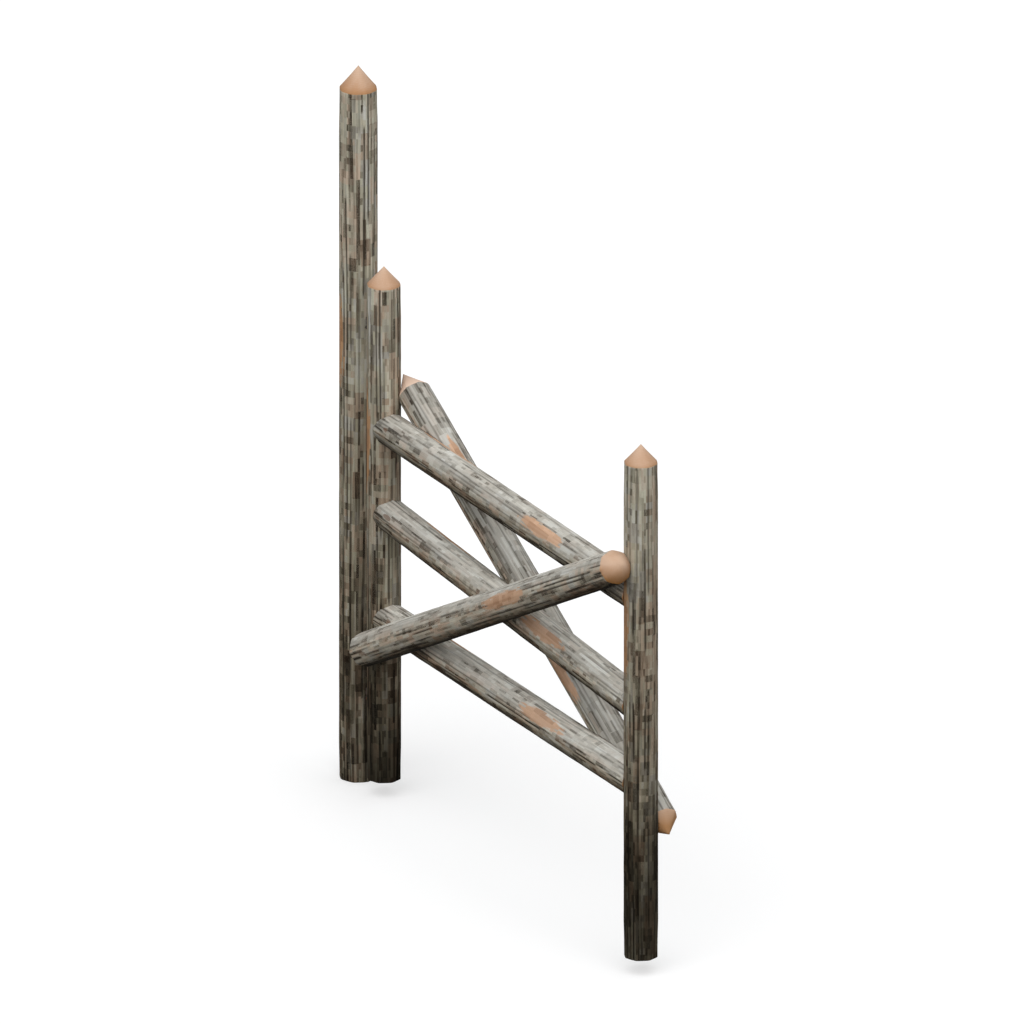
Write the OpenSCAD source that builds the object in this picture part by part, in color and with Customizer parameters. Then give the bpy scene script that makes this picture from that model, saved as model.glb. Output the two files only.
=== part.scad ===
// Pole gate: a leaf of round poles hung on a tall round post.
// The origin is the centre of the post's foot, +X runs along the closed leaf and +Z is up.
// The leaf's front face, with the brace that rises towards the free end, looks along -Y.
// The leaf is drawn closed, and turns about the pins of the two hooks in the post.

/* [Hanging post] */
// Diameter of the hanging post
post_d = 143; // [120:1:200]
// Height of the hanging post from the ground to the rim of its point
post_h = 2691; // [2300:1:3400]
// Height of the hewn point on the hanging post
post_point_h = 91; // [40:1:150]

/* [Stiles] */
// Diameter of the heel stile and the head stile
stile_d = 128; // [105:1:170]
// Height of a stile from its foot to the rim of its point
stile_h = 1928; // [1600:1:2400]
// Height of the hewn point on a stile
stile_point_h = 73; // [40:1:120]
// Distance between the axes of the two stiles
leaf_span = 2000; // [1500:1:2600]
// Space between the ground and the feet of the stiles
ground_gap = 64; // [30:1:120]

/* [Rails] */
// Diameter of the three rails
rail_d = 127; // [90:1:160]
// Distance of the top rail below the rims of the stiles' points, at the heel stile
top_rail_heel_drop = 549; // [470:1:620]
// Distance of the top rail below the rims of the stiles' points, at the head stile
top_rail_head_drop = 528; // [470:1:620]
// Height of the middle rail over the midway between the other two, at the heel stile
middle_rail_heel_lift = 40; // [-80:1:80]
// Height of the middle rail over the midway between the other two, at the head stile
middle_rail_head_lift = -64.5; // [-80:0.5:80]
// Height of the bottom rail over the stiles' feet, at the heel stile
bottom_rail_heel_z = 633; // [450:1:680]
// Height of the bottom rail over the stiles' feet, at the head stile
bottom_rail_head_z = 671; // [450:1:680]
// Distance from a stile's axis to the sawn end of a rail's ears
rail_setback = 31; // [20:1:45]

/* [Braces] */
// Diameter of the two braces
brace_d = 130; // [90:1:160]
// Height of the hewn points on the front brace and on the lower end of the back brace
brace_point_h = 73; // [55:1:110]
// Height of the longer hewn point on the upper end of the back brace
back_brace_heel_point_h = 103; // [55:1:120]
// Height of the front brace over the stiles' feet, at the heel stile
front_brace_heel_z = 511; // [400:1:650]
// Distance of the front brace below the rims of the stiles' points, at the head stile
front_brace_head_drop = 392; // [250:1:450]
// Depth that the front brace is notched over the heel stile
front_brace_heel_lap = 28.5; // [20:0.5:42]
// Depth that the front brace is notched over the head stile
front_brace_head_lap = 13; // [8:0.5:42]
// Distance along the front brace from the heel stile's axis in to the rim of its lower point
front_brace_heel_inset = 50; // [40:1:55]
// Distance along the front brace from the head stile's axis out to the rim of its upper point
front_brace_head_reach = 22; // [-20:1:60]
// Distance of the back brace below the rims of the stiles' points, at the heel stile
back_brace_heel_drop = 384; // [250:1:450]
// Height of the back brace over the stiles' feet, at the head stile
back_brace_head_z = 500; // [400:1:650]
// Depth that the back brace is notched over the heel stile
back_brace_heel_lap = 39; // [20:0.5:45]
// Depth that the back brace is notched over the head stile
back_brace_head_lap = 39; // [20:0.5:45]
// Distance along the back brace from the heel stile's axis in to the rim of its upper point
back_brace_heel_inset = 79; // [40:1:90]
// Distance along the back brace from the head stile's axis out to the rim of its lower point
back_brace_head_reach = -14; // [-30:1:60]

/* [Hewn points] */
// Number of flats on each point
hewn_flats = 8; // [6:1:12]
// Depth of a flat under the bark at the rim of a point
hewn_depth = 3; // [1:0.5:5]

/* [Pole joints] */
// Gap left round everything that is cut to fit
fit_gap = 0.3; // [0.1:0.1:1]
// Diameter of the round tenons on the rails
tenon_d = 52; // [35:1:70]
// Distance that a tenon runs past the stile's axis
tenon_past_axis = 14; // [0:1:25]
// Chamfer on the end of a tenon
tenon_chamfer = 4; // [1:1:8]
// Depth of a mortise past the end of its tenon
mortise_relief = 3; // [1:1:8]

/* [Hinges] */
// Height of the lower hinge over the stiles' feet
lower_hinge_z = 300; // [150:1:380]
// Distance of the upper hinge below the rim of the heel stile's point
upper_hinge_drop = 178; // [80:1:200]
// Diameter of the hooks' pins
pin_d = 16; // [12:1:22]
// Running gap round a pin in its eye
pin_gap = 0.8; // [0.4:0.1:1.5]
// Wall of the ring of an eye
eye_wall = 7; // [5:1:10]
// Height of the ring of an eye
eye_h = 24; // [20:1:34]
// Flat edge of the ring above and below the neck of an eye
eye_edge = 1; // [0.5:0.5:2]
// Length of the pin that stands above the eye
pin_proud = 14; // [8:1:25]
// Chamfer on top of a pin
pin_chamfer = 3; // [1:1:5]
// Radius of the bend between a hook's shank and its pin
hook_bend_r = 16; // [14:1:18]
// Width of the shoulder that stands out round a pin under the eye
shoulder_w = 6; // [3:1:8]
// Thickness of the shoulder under the eye
shoulder_h = 5; // [3:1:10]
// Length of a hook's shank inside the post
hook_bury = 95; // [60:1:110]
// Diameter of the shank of an eye
eye_shank_d = 16; // [12:1:20]
// Length of an eye's shank inside the heel stile
eye_bury = 75; // [50:1:90]
// Length of the forged neck between an eye's ring and its shank
eye_neck = 12; // [8:1:18]
// Taper on the driven end of a shank
shank_taper = 20; // [10:1:30]
// Space between a moving ring and the post
ring_gap = 5.5; // [5:0.5:12]
// Space that the heel stile and the braces' points keep off the post, with the leaf wide open
swing_gap = 5.5; // [5:0.5:12]

/* [Hidden] */
$fn = 96;

bark_grey = "#8a8072";
bark_pale = "#a39a89";
iron_grey = "#3b3734";

// Hinge: the pin's axis stands off the post by the ring's radius and its gap.
pin_r = pin_d / 2;
eye_bore_r = pin_r + pin_gap;
eye_r = eye_bore_r + eye_wall;
pivot_x = post_d / 2 + ring_gap + eye_r;

// Each pole of the leaf is given by two points of its axis, at the heel stile's and the head
// stile's own axes, as [distance in front (-) or behind (+), height over the stiles' feet].
TOP_RAIL = [[0, stile_h - top_rail_heel_drop], [0, stile_h - top_rail_head_drop]];
BOTTOM_RAIL = [[0, bottom_rail_heel_z], [0, bottom_rail_head_z]];
MIDDLE_RAIL = (TOP_RAIL + BOTTOM_RAIL) / 2 + [[0, middle_rail_heel_lift], [0, middle_rail_head_lift]];
RAILS = [TOP_RAIL, MIDDLE_RAIL, BOTTOM_RAIL];

// A brace lies against the stiles' faces, let in by its lap.
brace_stand = (stile_d + brace_d) / 2;
FRONT_BRACE = [
    [front_brace_heel_lap - brace_stand, front_brace_heel_z],
    [front_brace_head_lap - brace_stand, stile_h - front_brace_head_drop],
];
BACK_BRACE = [
    [brace_stand - back_brace_heel_lap, stile_h - back_brace_heel_drop],
    [brace_stand - back_brace_head_lap, back_brace_head_z],
];

// Length of a pole's axis between the axes of the two stiles.
function axis_length(pole) = norm([leaf_span, pole[1].x - pole[0].x, pole[1].y - pole[0].y]);

// Distance across the leaf that keeps something centre_gap off the post's axis, where it lies
// aside from that axis along the leaf.
function clear_distance(centre_gap, aside) = sqrt(max(0, pow(centre_gap, 2) - pow(aside, 2)));

// Distance from the pin to the heel stile's axis at which a brace's point passes beside the post
// with the leaf a quarter turn open: the point's overhang, and the way that it keeps off the post.
function point_reach(brace, heel_inset, point_h) =
    let (overhang = (point_h - heel_inset) * leaf_span / axis_length(brace))
    overhang + clear_distance(post_d / 2 + swing_gap, pivot_x - abs(brace[0].x));

// The heel stile stands where it and the points clear the post with the leaf wide open.
heel_x = pivot_x + max(
    clear_distance((post_d + stile_d) / 2 + swing_gap, pivot_x),
    point_reach(FRONT_BRACE, front_brace_heel_inset, brace_point_h),
    point_reach(BACK_BRACE, back_brace_heel_inset, back_brace_heel_point_h)
);
head_x = heel_x + leaf_span;

// Each hook's shank lies under its eye by half the ring, the shoulder and the bend.
shank_drop = eye_h / 2 + fit_gap + shoulder_h + hook_bend_r;

upper_hinge_z = stile_h - upper_hinge_drop;
HINGE_HEIGHTS = [lower_hinge_z, upper_hinge_z];

// Runs children's +Z along a pole's axis, from the heel stile's axis to the head stile's.
module on_axis(pole) {
    rise = pole[1].y - pole[0].y;
    drift = pole[1].x - pole[0].x;
    translate([heel_x, pole[0].x, ground_gap + pole[0].y])
        rotate([0, acos(rise / axis_length(pole)), atan2(drift, leaf_span)])
            children();
}

// Runs children's +Z along the leaf, at a height over the ground.
module along_leaf(x, z) {
    translate([x, 0, z])
        rotate([0, 90, 0])
            children();
}

// Turns an outline of [radius, height] points about +Z.
module turned(outline) {
    rotate_extrude()
        polygon(outline);
}

// All that is hewn off the end of a round log to leave its point, with the rim at z = 0.
module hewn_off(d, point_h) {
    skirt = point_h / 4;
    rim_r = (d / 2 - hewn_depth) / cos(180 / hewn_flats);
    difference() {
        translate([0, 0, -skirt / 2])
            cylinder(r = d, h = 2 * point_h);
        translate([0, 0, -skirt])
            cylinder(
                r1 = rim_r * (point_h + skirt) / point_h,
                r2 = 0,
                h = point_h + skirt,
                $fn = hewn_flats
            );
    }
}

// Round post standing on its foot, with a hewn point on top.
module pointed_post(d, h, point_h) {
    difference() {
        cylinder(d = d, h = h + 1.2 * point_h);
        translate([0, 0, h])
            hewn_off(d, point_h);
    }
}

// Space that both stiles fill, with the gap that a joint round them needs.
module stile_space() {
    for (x = [heel_x, head_x])
        translate([x, 0, ground_gap])
            cylinder(d = stile_d + 2 * fit_gap, h = stile_h);
}

// Round log of a rail between the sawn ends of its ears.
module rail_log(pole, gap = 0) {
    on_axis(pole)
        translate([0, 0, rail_setback - gap])
            cylinder(d = rail_d + 2 * gap, h = axis_length(pole) - 2 * (rail_setback - gap));
}

// Rod along a rail's core that ends in a chamfered tenon past the axis of each stile.
module tenon_rod(pole) {
    r = tenon_d / 2;
    end_r = r - tenon_chamfer;
    rod_h = axis_length(pole) + 2 * tenon_past_axis;
    on_axis(pole)
        translate([0, 0, -tenon_past_axis])
            turned([
                [0, 0],
                [end_r, 0],
                [r, tenon_chamfer],
                [r, rod_h - tenon_chamfer],
                [end_r, rod_h],
                [0, rod_h],
            ]);
}

// Bore along a rail's axis that makes the mortises for both of its tenons.
module mortise_bore(pole) {
    past = tenon_past_axis + mortise_relief;
    on_axis(pole)
        translate([0, 0, -past])
            cylinder(d = tenon_d + 2 * fit_gap, h = axis_length(pole) + 2 * past);
}

// Rail: its ends are coped to sit round the stiles, and a blind tenon runs into each.
module rail(pole) {
    difference() {
        rail_log(pole);
        stile_space();
    }
    tenon_rod(pole);
}

// Stile with the three mortises for the rails.
module stile(x) {
    difference() {
        translate([x, 0, ground_gap])
            pointed_post(stile_d, stile_h, stile_point_h);
        for (pole = RAILS)
            mortise_bore(pole);
    }
}

// Round log of a brace with a hewn point on both ends.
module brace_log(pole, heel_inset, head_reach, heel_point_h) {
    head_rim = axis_length(pole) + head_reach;
    start = heel_inset - 1.2 * heel_point_h;
    on_axis(pole)
        difference() {
            translate([0, 0, start])
                cylinder(d = brace_d, h = head_rim + 1.2 * brace_point_h - start);
            translate([0, 0, head_rim])
                hewn_off(brace_d, brace_point_h);
            translate([0, 0, heel_inset])
                mirror([0, 0, 1])
                    hewn_off(brace_d, heel_point_h);
        }
}

// Brace: saddle notches let it down over both stiles and over each rail that it crosses.
module brace(pole, heel_inset, head_reach, heel_point_h) {
    difference() {
        brace_log(pole, heel_inset, head_reach, heel_point_h);
        stile_space();
        for (rail_pole = RAILS)
            rail_log(rail_pole, fit_gap);
    }
}

// Hook: a shank driven into the post, a bend, a shoulder for the eye and the pin above it.
module hook(height) {
    shank_z = ground_gap + height - shank_drop;
    shank_h = hook_bury + pivot_x - hook_bend_r - post_d / 2;
    pin_h = shoulder_h + fit_gap + eye_h + pin_proud;
    along_leaf(post_d / 2 - hook_bury, shank_z)
        turned([[0, 0], [pin_r / 2, 0], [pin_r, shank_taper], [pin_r, shank_h], [0, shank_h]]);
    translate([pivot_x - hook_bend_r, 0, shank_z + hook_bend_r])
        rotate([90, 0, 0])
            rotate([0, 0, -90])
                rotate_extrude(angle = 90)
                    translate([hook_bend_r, 0])
                        circle(r = pin_r);
    translate([pivot_x, 0, shank_z + hook_bend_r])
        turned([
            [0, 0],
            [pin_r + shoulder_w, 0],
            [pin_r + shoulder_w, shoulder_h],
            [pin_r, shoulder_h],
            [pin_r, pin_h],
            [pin_r - pin_chamfer, pin_h + pin_chamfer],
            [0, pin_h + pin_chamfer],
        ]);
}

// Bore in the post for the shank of a hook.
module hook_bore(height) {
    along_leaf(post_d / 2 - hook_bury - fit_gap, ground_gap + height - shank_drop)
        cylinder(d = pin_d + 2 * fit_gap, h = hook_bury + post_d);
}

// Eye: a ring round the pin, a forged neck and a shank driven into the heel stile.
module eye(height) {
    eye_z = ground_gap + height;
    shank_r = eye_shank_d / 2;
    neck_x = pivot_x + eye_bore_r + eye_wall / 4;
    neck_end = pivot_x + eye_r + eye_neck - neck_x;
    tip = heel_x - stile_d / 2 + eye_bury - neck_x;
    difference() {
        translate([pivot_x, 0, eye_z - eye_h / 2])
            cylinder(r = eye_r, h = eye_h);
        translate([pivot_x, 0, eye_z - eye_h])
            cylinder(r = eye_bore_r, h = 2 * eye_h);
    }
    along_leaf(neck_x, eye_z)
        turned([
            [0, 0],
            [eye_h / 2 - eye_edge, 0],
            [shank_r, neck_end],
            [shank_r, tip - shank_taper],
            [shank_r / 2, tip],
            [0, tip],
        ]);
}

// Bore in the heel stile for the shank of an eye.
module eye_bore(height) {
    along_leaf(heel_x - stile_d, ground_gap + height)
        cylinder(d = eye_shank_d + 2 * fit_gap, h = stile_d / 2 + eye_bury + fit_gap);
}

module hanging_post() {
    color(bark_grey)
        difference() {
            pointed_post(post_d, post_h, post_point_h);
            for (height = HINGE_HEIGHTS)
                hook_bore(height);
        }
}

module heel_stile() {
    color(bark_grey)
        difference() {
            stile(heel_x);
            for (height = HINGE_HEIGHTS)
                eye_bore(height);
        }
}

module head_stile() {
    color(bark_grey)
        stile(head_x);
}

module top_rail() {
    color(bark_pale)
        rail(TOP_RAIL);
}

module middle_rail() {
    color(bark_pale)
        rail(MIDDLE_RAIL);
}

module bottom_rail() {
    color(bark_pale)
        rail(BOTTOM_RAIL);
}

module front_brace() {
    color(bark_pale)
        brace(FRONT_BRACE, front_brace_heel_inset, front_brace_head_reach, brace_point_h);
}

module back_brace() {
    color(bark_pale)
        brace(BACK_BRACE, back_brace_heel_inset, back_brace_head_reach, back_brace_heel_point_h);
}

module lower_hook() {
    color(iron_grey)
        hook(lower_hinge_z);
}

module upper_hook() {
    color(iron_grey)
        hook(upper_hinge_z);
}

module lower_eye() {
    color(iron_grey)
        eye(lower_hinge_z);
}

module upper_eye() {
    color(iron_grey)
        eye(upper_hinge_z);
}

hanging_post();
heel_stile();
head_stile();
top_rail();
middle_rail();
bottom_rail();
front_brace();
back_brace();
lower_hook();
upper_hook();
lower_eye();
upper_eye();
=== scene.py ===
# %% [markdown]
# # A rustic pole gate
# A gate leaf of round poles hangs from a tall post. The poles still wear their bark, their ends
# are hewn to points, and the rails and braces are let into the stiles with carved joints.
# This lesson dresses the CAD part, the frame, which already has every joint and hinge. Its box is
# kept.

# %% Load the frame
import math
from collections import namedtuple

import bmesh
import bpy
import numpy as np
from mathutils import Matrix, Vector


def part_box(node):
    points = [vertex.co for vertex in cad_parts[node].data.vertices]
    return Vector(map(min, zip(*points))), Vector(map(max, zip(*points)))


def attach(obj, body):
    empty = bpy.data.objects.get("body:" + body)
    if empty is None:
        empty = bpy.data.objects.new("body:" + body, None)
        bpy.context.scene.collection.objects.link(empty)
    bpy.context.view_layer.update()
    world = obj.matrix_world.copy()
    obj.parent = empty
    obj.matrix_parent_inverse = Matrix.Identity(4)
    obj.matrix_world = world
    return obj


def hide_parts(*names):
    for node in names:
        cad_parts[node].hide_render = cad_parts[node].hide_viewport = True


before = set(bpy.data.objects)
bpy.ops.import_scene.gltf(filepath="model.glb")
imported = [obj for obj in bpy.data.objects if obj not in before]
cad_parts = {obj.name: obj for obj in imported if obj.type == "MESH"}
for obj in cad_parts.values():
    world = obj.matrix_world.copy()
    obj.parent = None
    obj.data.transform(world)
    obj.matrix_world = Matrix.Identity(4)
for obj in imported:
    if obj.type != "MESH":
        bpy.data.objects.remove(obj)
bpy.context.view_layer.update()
scene = bpy.context.scene


def add_object(name, data):
    """A new object, linked to the scene."""
    made = bpy.data.objects.new(name, data)
    scene.collection.objects.link(made)
    return made


print("frame nodes:", ", ".join(sorted(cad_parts)))

# %% [markdown]
# ## The camera
# The gate is seen from its free end, looking down a little. A perspective camera from far away
# would do, but parallel view lines keep all the poles equally thick.

# %% Set up the camera
VIEW_TURN = math.radians(62.1)
VIEW_DROP = math.radians(21.5)
VIEW_WIDTH = 3.729
AIM_ASIDE = -0.003
AIM_HEIGHT = 1.449
CAMERA_DISTANCE = 9.0

heel_low, heel_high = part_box("heel_stile")
head_low, head_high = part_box("head_stile")
leaf_middle = (heel_low.x + heel_high.x + head_low.x + head_high.x) / 4
aim = Vector((leaf_middle + AIM_ASIDE, 0, AIM_HEIGHT))
to_camera = Vector((
    math.sin(VIEW_TURN) * math.cos(VIEW_DROP),
    -math.cos(VIEW_TURN) * math.cos(VIEW_DROP),
    math.sin(VIEW_DROP),
))
camera_data = bpy.data.cameras.new("gate_camera")
camera_data.type = "ORTHO"
camera_data.ortho_scale = VIEW_WIDTH
camera = add_object("gate_camera", camera_data)
camera.location = aim + to_camera * CAMERA_DISTANCE
camera.rotation_euler = to_camera.to_track_quat("Z", "Y").to_euler()
scene.camera = camera
print("camera looks at", [round(v, 3) for v in aim])

# %% [markdown]
# ## Nodes as a recipe
# Every finish, and the sky too, is mixed from a few kinds of shader node. They could be placed by
# hand, but fifty nodes are easier to read as a recipe. A helper adds one node and hands it back.

# %% Helpers for nodes
def feed(socket, value):
    """Links an output to a socket, or sets the socket's own value."""
    if isinstance(value, bpy.types.NodeSocket):
        value.id_data.links.new(value, socket)
    elif value is not None:
        socket.default_value = value


def node_for(kind, *values, **settings):
    """A new node, with its sockets fed in their order."""
    tree = next(value.id_data for value in values if isinstance(value, bpy.types.NodeSocket))
    node = tree.nodes.new("ShaderNode" + kind)
    for name, setting in settings.items():
        setattr(node, name, setting)
    for socket, value in zip(node.inputs, values):
        feed(socket, value)
    return node


def sums(operation, *values, clamp=False):
    return node_for("Math", *values, operation=operation, use_clamp=clamp).outputs[0]


def times(value, by, plus=None, clamp=False):
    """One number times another, and plus a third if there is one."""
    return sums("MULTIPLY" if plus is None else "MULTIPLY_ADD", value, by, plus, clamp=clamp)


def blend(factor, low, high, mode="MIX"):
    """Mixes two colours. A Mix node has five sockets for other kinds before them."""
    values = (factor, *[None] * 5, low, high)
    return node_for("Mix", *values, data_type="RGBA", blend_type=mode).outputs["Result"]


def new_material(name, roughness, shine):
    material = bpy.data.materials.new(name)
    material.use_nodes = True
    tree = material.node_tree
    shader = tree.nodes["Principled BSDF"]
    shader.inputs["Roughness"].default_value = roughness
    shader.inputs["Specular IOR Level"].default_value = shine
    return material, tree, shader


print("node helpers are ready")

# %% [markdown]
# ## A white background
# More light would turn the background white, but it would bleach the poles too. Instead, the sky
# and the floor are white to the camera, to a glossy surface and to clear glass, and keep their
# own colour for other light.

# %% Find out who looks
WHITE = (1.0, 1.0, 1.0, 1.0)


def seen_directly(tree):
    """1 where one of the three looks at it, else 0."""
    rays = tree.nodes.new("ShaderNodeLightPath").outputs
    seen = sums("MAXIMUM", rays["Is Camera Ray"], rays["Is Glossy Ray"])
    return sums("MAXIMUM", seen, rays["Is Transmission Ray"])


scene.view_settings.view_transform = "Standard"
print("view transform:", scene.view_settings.view_transform)

# %% [markdown]
# ## Light
# A gate stands in the open, and bark looks best under a wide, soft light from above, which leaves
# the undersides dark. Studio lamps could give it, but one broad sun lights all of it alike.
# A weak even sky fills the shadows.

# %% Light the scene
SUN_STRENGTH = 1.85
SUN_SPREAD = math.radians(80)
SUN_FROM = Vector((0.56, -0.37, 0.76))
SKY_COLOUR = (0.98, 0.99, 1.0, 1.0)
SKY_STRENGTH = 0.6

sun_data = bpy.data.lights.new("broad_sun", "SUN")
sun_data.energy = SUN_STRENGTH
sun_data.angle = SUN_SPREAD
sun = add_object("broad_sun", sun_data)
sun.rotation_euler = SUN_FROM.to_track_quat("Z", "Y").to_euler()

sky = bpy.data.worlds.new("even_sky")
sky.use_nodes = True
scene.world = sky
sky_nodes = sky.node_tree.nodes
sky_light = sky_nodes["Background"]
sky_white = sky_nodes.new("ShaderNodeBackground")
for glow, colour, strength in ((sky_light, SKY_COLOUR, SKY_STRENGTH), (sky_white, WHITE, 1.0)):
    glow.inputs["Color"].default_value = colour
    glow.inputs["Strength"].default_value = strength
sky_seen = seen_directly(sky.node_tree)
sky_mix = node_for("MixShader", sky_seen, sky_light.outputs[0], sky_white.outputs[0])
feed(sky_nodes["World Output"].inputs["Surface"], sky_mix.outputs[0])
print("sun strength", SUN_STRENGTH, "sky strength", SKY_STRENGTH)

# %% [markdown]
# ## Floor
# The ground sends little light back up, so the floor is dark to the poles, while it shows pale
# to the camera and keeps their soft shadow. A faint glow, also for the camera alone, brings it up
# to the white of the sky.

# %% Lay the floor
FLOOR_SIZE = 60.0
FLOOR_DROP = 0.0005
FLOOR_TO_CAMERA = (0.64, 0.64, 0.64, 1.0)
FLOOR_TO_POLES = (0.05, 0.048, 0.045, 1.0)
FLOOR_OWN_WHITE = 0.42

half = FLOOR_SIZE / 2
floor_corners = [(-half, -half, 0), (half, -half, 0), (half, half, 0), (-half, half, 0)]
floor_mesh = bpy.data.meshes.new("pale_floor")
floor_mesh.from_pydata(floor_corners, [], [(0, 1, 2, 3)])
floor = add_object("pale_floor", floor_mesh)
floor.location = (leaf_middle, 0, -FLOOR_DROP)
floor_paint, floor_tree, floor_shader = new_material("pale_floor", 1.0, 0.0)
floor_seen = seen_directly(floor_tree)
floor_shader.inputs["Emission Color"].default_value = WHITE
feed(floor_shader.inputs["Emission Strength"], times(floor_seen, FLOOR_OWN_WHITE))
feed(floor_shader.inputs["Base Color"], blend(floor_seen, FLOOR_TO_POLES, FLOOR_TO_CAMERA))
floor_mesh.materials.append(floor_paint)
print("floor side in metres:", FLOOR_SIZE)

# %% [markdown]
# ## Chance that repeats
# Bark is full of accidents, yet the gate has to come out the same each time. A seeded generator
# would do, but its values depend on the order of the calls. A number mixed from a seed and a
# place gives the same accident at the same place.

# %% Define repeatable chance
FIRST_STIR = np.uint32(0x85EBCA6B)
SECOND_STIR = np.uint32(0xC2B2AE35)


def chance(seed, *cells):
    """A number from 0 to 1, the same for the same seed and cells."""
    mixed = np.full(np.broadcast(*cells).shape, 7919 * seed + 17, np.uint32)
    for cell in cells:
        mixed = (mixed ^ np.asarray(cell).astype(np.int64).astype(np.uint32)) * FIRST_STIR
        mixed = (mixed ^ (mixed >> np.uint32(13))) * SECOND_STIR
        mixed = mixed ^ (mixed >> np.uint32(16))
    return mixed / 2.0**32


print("the same chance twice:", chance(3, [4, 4], 5))

# %% [markdown]
# ## Lines and clouds from chance
# A crack wanders along its pole, and a bulge fades away on all sides. A noise texture could steer
# them, but it shows a seam where a log closes on itself. Here the log has lanes round its girth,
# the last lane lies beside the first, and values ease from lane to lane.

# %% Define lines and clouds
def ease(low, high, value):
    """0 below low, 1 above high and a smooth rise between them."""
    t = np.clip((value - low) / (high - low), 0, 1)
    return t * t * (3 - 2 * t)


def wander(seed, lane, along):
    """A line that wanders from 0 to 1 along a pole, one for each lane."""
    cell = np.floor(along)
    t = ease(0, 1, along - cell)
    return chance(seed, lane, cell) * (1 - t) + chance(seed, lane, cell + 1) * t


def cloud(seed, turn, along, lanes):
    """A soft cloud from 0 to 1 that closes on itself round the log."""
    place = turn * lanes
    lane = np.floor(place)
    t = ease(0, 1, place - lane)
    here = wander(seed, lane % lanes, along)
    beside = wander(seed, (lane + 1) % lanes, along)
    return here * (1 - t) + beside * t


print("cloud on both sides of the seam:", cloud(1, np.array([0.0, 1.0]), 0.5, 5))

# %% [markdown]
# ## The poles of the gate
# A maker sorts the poles before the first cut. Their measures could be typed in, but what is read
# off the frame's boxes follows the frame when it changes. Rails and braces run from the heel
# stile's axis to the head stile's, and are given at both by the distance behind the leaf's middle
# plane and the height over the feet.

# %% Measure the frame's poles
FOOT = heel_low.z
HEEL_X = (heel_low.x + heel_high.x) / 2
HEAD_X = (head_low.x + head_high.x) / 2
POST_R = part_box("hanging_post")[1].x
STILE_R = (heel_high.x - heel_low.x) / 2
RAIL_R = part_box("top_rail")[1].y
BRACE_R = 0.065


def lying(heel, head):
    """Place and length of a pole of the leaf: its own +Z runs from heel to head."""
    start = Vector((HEEL_X, heel[0], FOOT + heel[1]))
    run = Vector((HEAD_X, head[0], FOOT + head[1])) - start
    tilt = Matrix.Rotation(math.acos(run.z / run.length), 4, "Y")
    swing = Matrix.Rotation(math.atan2(run.y, run.x), 4, "Z")
    return Matrix.Translation(start) @ swing @ tilt, run.length


print("radii in mm:", [round(r * 1000, 1) for r in (POST_R, STILE_R, RAIL_R, BRACE_R)])

# %% [markdown]
# ## What is told of a pole
# Each pole has its place, its start and stop on its axis, and its points: a rim and a height,
# negative towards the heel. Near the squared places the log is squared off a little. Painted shade
# creeps up round the underside of a lying pole between two levels. A bare patch has its direction
# in degrees, its place along the pole, and half its width and length. A split has its direction. A
# class could hold all this, but nothing changes later, so a named tuple is enough.

# %% Describe a pole
# Upright poles get no painted shade underneath.
NO_UNDER_SHADE = (2.0, 3.0)
TOLD = "name body slot seed radius place start stop points squared grime bare split"
Pole = namedtuple("Pole", TOLD, defaults=[None])
poles = []
print("told of each pole:", TOLD)

# %% [markdown]
# ## Post and stiles
# The tall post carries the gate, and the two stiles are the upright ends of its leaf. All three
# have a flat foot and a hewn point, so one helper makes them. Each log starts below its foot,
# and the CAD pole cuts it off flat later.

# %% List the standing poles
BELOW_FOOT = -0.01
STILE_RIM = 1.928
STILE_POINT = 0.073


def standing_pole(name, body, seed, radius, foot, rim, point, bare):
    """An upright pole: its own +Z runs up from the foot."""
    place = Matrix.Translation(foot)
    poles.append(Pole(name, body, "post_bark", seed, radius, place, BELOW_FOOT, rim,
                      [(rim, point)], [0.0, rim], NO_UNDER_SHADE, bare))


standing_pole("hanging_post", "post", 11, POST_R, (0, 0, 0), 2.691, 0.091,
              [(-108, 1.72, 30, 0.18), (150, 1.2, 16, 0.2)])
standing_pole("heel_stile", "leaf", 12, STILE_R, (HEEL_X, 0, FOOT), STILE_RIM, STILE_POINT,
              [(-110, 1.33, 26, 0.21), (80, 0.7, 16, 0.14)])
standing_pole("head_stile", "leaf", 13, STILE_R, (HEAD_X, 0, FOOT), STILE_RIM, STILE_POINT,
              [(-108, 1.30, 32, 0.20), (70, 1.5, 16, 0.18)])
for each in poles:
    print(each.name, "from", round(each.start, 3), "to", round(each.stop, 3))

# %% [markdown]
# ## Rails
# Three rails tie the stiles together. Each end is sawn a little before the stile's axis, its ears
# sit round the stile, and a round tenon runs on into it. The ends could be shaped here, but the log
# is just made as long as its tenons, and the carving takes away the rest. The rails were cut from
# like poles and share their split.

# %% List the rails
EAR = 0.031
TENON_REACH = 0.03
# Levels round a rail between which painted shade darkens its underside.
RAIL_UNDER_SHADE = (-0.4, 0.85)
RAIL_SPLIT = -108
FAR_PATCH = (150, 0.46, 12, 0.19)
RAILS = {
    "top_rail": ((0, 1.379), (0, 1.400), -128),
    "middle_rail": ((0, 1.046), (0, 0.971), -129),
    "bottom_rail": ((0, 0.633), (0, 0.671), -129),
}
for number, (name, (heel, head, patch_turn)) in enumerate(RAILS.items()):
    place, length = lying(heel, head)
    near_patch = (patch_turn, 1.31, 23, 0.16)
    poles.append(Pole(name, "leaf", "pole_bark", 21 + number, RAIL_R, place,
                      -TENON_REACH, length + TENON_REACH, [], [EAR, length - EAR],
                      RAIL_UNDER_SHADE, [FAR_PATCH, near_patch], RAIL_SPLIT))
    print(name, "is", round(length, 3), "metres between the stiles' axes")

# %% [markdown]
# ## Braces
# A gate leaf sags without a brace. This one has two that cross, one on each face, hewn at both
# ends. A brace could be given by its angle, but its places at the two stiles are easier to measure.
# The rims of its points are given from the stiles' axes.

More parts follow.
